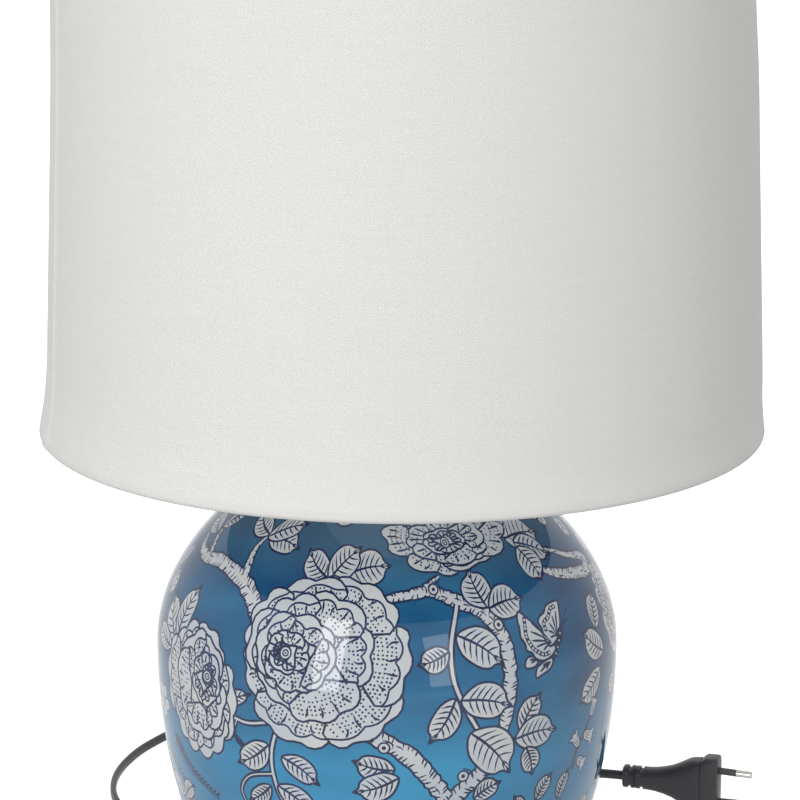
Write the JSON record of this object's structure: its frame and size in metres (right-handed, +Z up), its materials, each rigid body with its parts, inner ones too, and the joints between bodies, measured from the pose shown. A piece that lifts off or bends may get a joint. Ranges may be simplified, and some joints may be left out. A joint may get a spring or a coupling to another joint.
{
  "type": "table lamp",
  "caption": "Glazed ginger jar table lamp with a wide tapered drum shade, screw lampholder, bulb, in-line switch, flat lead and two-pin plug.",
  "frame": {"origin": "on the table, under the stem, at the centre of the shade seen from above", "axes": "+Z up along the stem, +X to the right and -Y towards the viewer of the picture"},
  "size_m": [0.3848, 0.4572, 0.5123],
  "materials": {
    "glaze": "painted under a clear gloss glaze",
    "felt": "pressed felt",
    "rubber": "satin",
    "plated_steel": "satin nickel plate",
    "white_wire": "white powder coat",
    "holder_plastic": "moulded, satin",
    "porcelain": "unglazed steatite",
    "brass": "bright",
    "shade_cloth": "close woven off-white cloth",
    "shade_backing": "white styrene sheet",
    "opal_glass": "white coated inside",
    "bulb_shell": "rolled",
    "bulb_seal": "black glass-like",
    "cord_jacket": "satin flat twin lead",
    "core_sheath": "insulated cores",
    "tie_strap": "woven strap",
    "switch_plastic": "moulded",
    "plug_plastic": "moulded in one with the lead",
    "pin_plate": "nickel-plated brass"
  },
  "bodies": {
    "root": {"jar": "glaze", "foot_felt": "felt", "strain_relief": "rubber", "threaded_rod": "plated_steel", "floor_gasket": "rubber", "floor_washer": "plated_steel", "stem_nut": "plated_steel", "cap_seal": "rubber", "jar_cap": "plated_steel", "lock_nut": "plated_steel", "neck_sleeve": "plated_steel", "holder_cap": "holder_plastic", "holder_grub_screw": "plated_steel", "holder_shell": "holder_plastic", "socket_insert": "porcelain", "terminal_screws": "brass", "socket_screw_shell": "brass", "centre_contact": "brass", "inner_cord": "cord_jacket", "inner_cores": "core_sheath", "cord_coil": "cord_jacket", "cord_lead": "cord_jacket", "cord_link": "cord_jacket", "cord_tail": "cord_jacket", "cord_tie": "tie_strap", "switch_base": "switch_plastic", "switch_cover": "switch_plastic", "switch_screws": "plated_steel", "switch_contacts": "brass", "plug_body": "plug_plastic", "plug_pins": "pin_plate", "pin_sleeves": "switch_plastic"},
    "shade": {"shade_fabric": "shade_cloth", "shade_liner": "shade_backing", "shade_top_ring": "white_wire", "shade_bottom_ring": "white_wire", "spider_arms": "white_wire", "fitter_ring": "white_wire"},
    "shade_ring": {"shade_ring": "holder_plastic"},
    "bulb": {"bulb_glass": "opal_glass", "bulb_cap": "bulb_shell", "bulb_insulator": "bulb_seal", "bulb_contact": "brass"},
    "rocker": {"switch_rocker": "switch_plastic"}
  },
  "joints": [
    {"name": "shade_turn", "type": "hinge", "parent": "root", "child": "shade", "pos_m": [0, 0, 0.3132], "axis": [0, 0, 1], "continuous": true},
    {"name": "shade_ring_turn", "type": "hinge", "parent": "root", "child": "shade_ring", "pos_m": [0, 0, 0.3184], "axis": [0, 0, 1], "continuous": true},
    {"name": "bulb_turn", "type": "hinge", "parent": "root", "child": "bulb", "pos_m": [0, 0, 0.33], "axis": [0, 0, 1], "continuous": true},
    {"name": "rocker_press", "type": "hinge", "parent": "root", "child": "rocker", "pos_m": [-0.064, 0.188, 0.013], "axis": [-0.9945, -0.1045, 0], "range_deg": [0, 20]}
  ]
}
